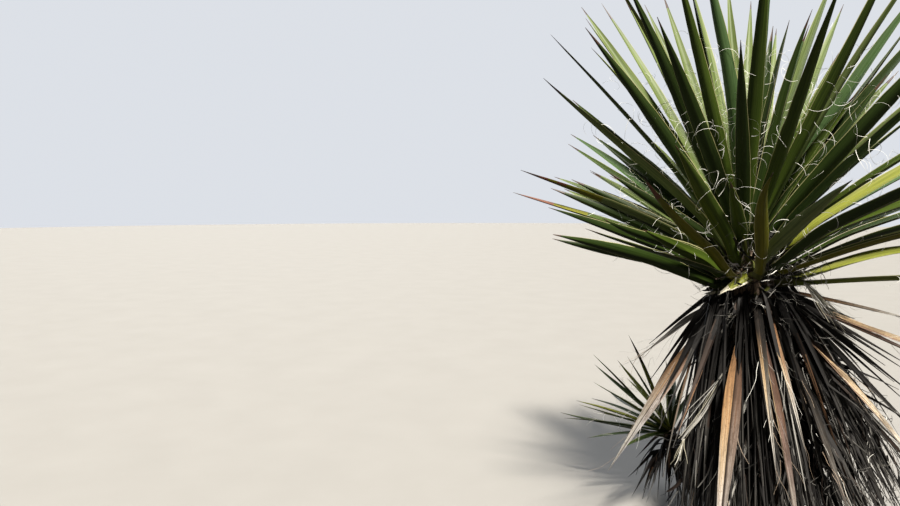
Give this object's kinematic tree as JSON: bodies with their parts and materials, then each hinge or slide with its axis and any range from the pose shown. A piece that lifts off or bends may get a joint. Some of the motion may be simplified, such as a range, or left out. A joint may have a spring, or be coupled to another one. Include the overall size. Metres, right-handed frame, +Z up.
{
  "type": "mojave yucca",
  "caption": "Mojave yucca with a leaning trunk, a rosette of stiff sword-shaped leaves, a skirt of dead leaves hanging to the ground, and a young offset beside its foot.",
  "frame": {"origin": "middle of the flat cut under the trunk, at ground level", "axes": "+Z is up. The front, seen in the picture, faces -Y, and +X is to its right."},
  "size_m": [2.2415, 1.8602, 2.419],
  "materials": {
    "bark": "rough, fibrous, grey-brown",
    "green_leaf": "smooth, waxy, yellow-green",
    "leaf_heart": "smooth, waxy, dark green",
    "thatch": "dry, fibrous, grey-brown",
    "dead_leaf": "dry, papery, orange-tan"
  },
  "bodies": {
    "root": {"trunk": "bark", "crown_right": "leaf_heart", "crown_back": "leaf_heart", "crown_left": "leaf_heart", "crown_front": "leaf_heart", "skirt_right": "thatch", "skirt_back_right": "thatch", "skirt_back_left": "thatch", "skirt_left": "thatch", "skirt_front": "thatch", "leaf_rear_1": "green_leaf", "leaf_rear_2": "green_leaf", "leaf_rear_3": "green_leaf", "leaf_rear_4": "green_leaf", "leaf_behind_1": "green_leaf", "leaf_behind_2": "green_leaf", "leaf_behind_3": "green_leaf", "leaf_behind_4": "green_leaf", "leaf_behind_5": "green_leaf", "leaf_back_1": "green_leaf", "leaf_back_2": "green_leaf", "leaf_back_3": "green_leaf", "leaf_back_4": "green_leaf", "leaf_back_5": "green_leaf", "leaf_back_6": "green_leaf", "leaf_back_7": "green_leaf", "leaf_middle_1": "green_leaf", "leaf_middle_2": "green_leaf", "leaf_middle_3": "green_leaf", "leaf_middle_4": "green_leaf", "leaf_middle_5": "green_leaf", "leaf_middle_6": "green_leaf", "leaf_middle_7": "green_leaf", "leaf_middle_8": "green_leaf", "leaf_front_1": "green_leaf", "leaf_front_2": "green_leaf", "leaf_front_3": "green_leaf", "leaf_front_4": "green_leaf", "leaf_front_5": "green_leaf", "leaf_front_6": "green_leaf", "leaf_near_1": "green_leaf", "leaf_near_2": "green_leaf", "leaf_near_3": "green_leaf", "leaf_near_4": "green_leaf", "dead_leaf_1": "dead_leaf", "dead_leaf_2": "dead_leaf", "dead_leaf_3": "dead_leaf", "dead_leaf_4": "dead_leaf", "dead_leaf_5": "dead_leaf", "dead_leaf_6": "dead_leaf", "dead_leaf_7": "dead_leaf", "dead_leaf_8": "dead_leaf", "dead_leaf_9": "dead_leaf", "offset_stem": "bark", "offset_heart": "leaf_heart", "offset_leaf_1": "green_leaf", "offset_leaf_2": "green_leaf", "offset_leaf_3": "green_leaf", "offset_leaf_4": "green_leaf"}
  },
  "joints": []
}
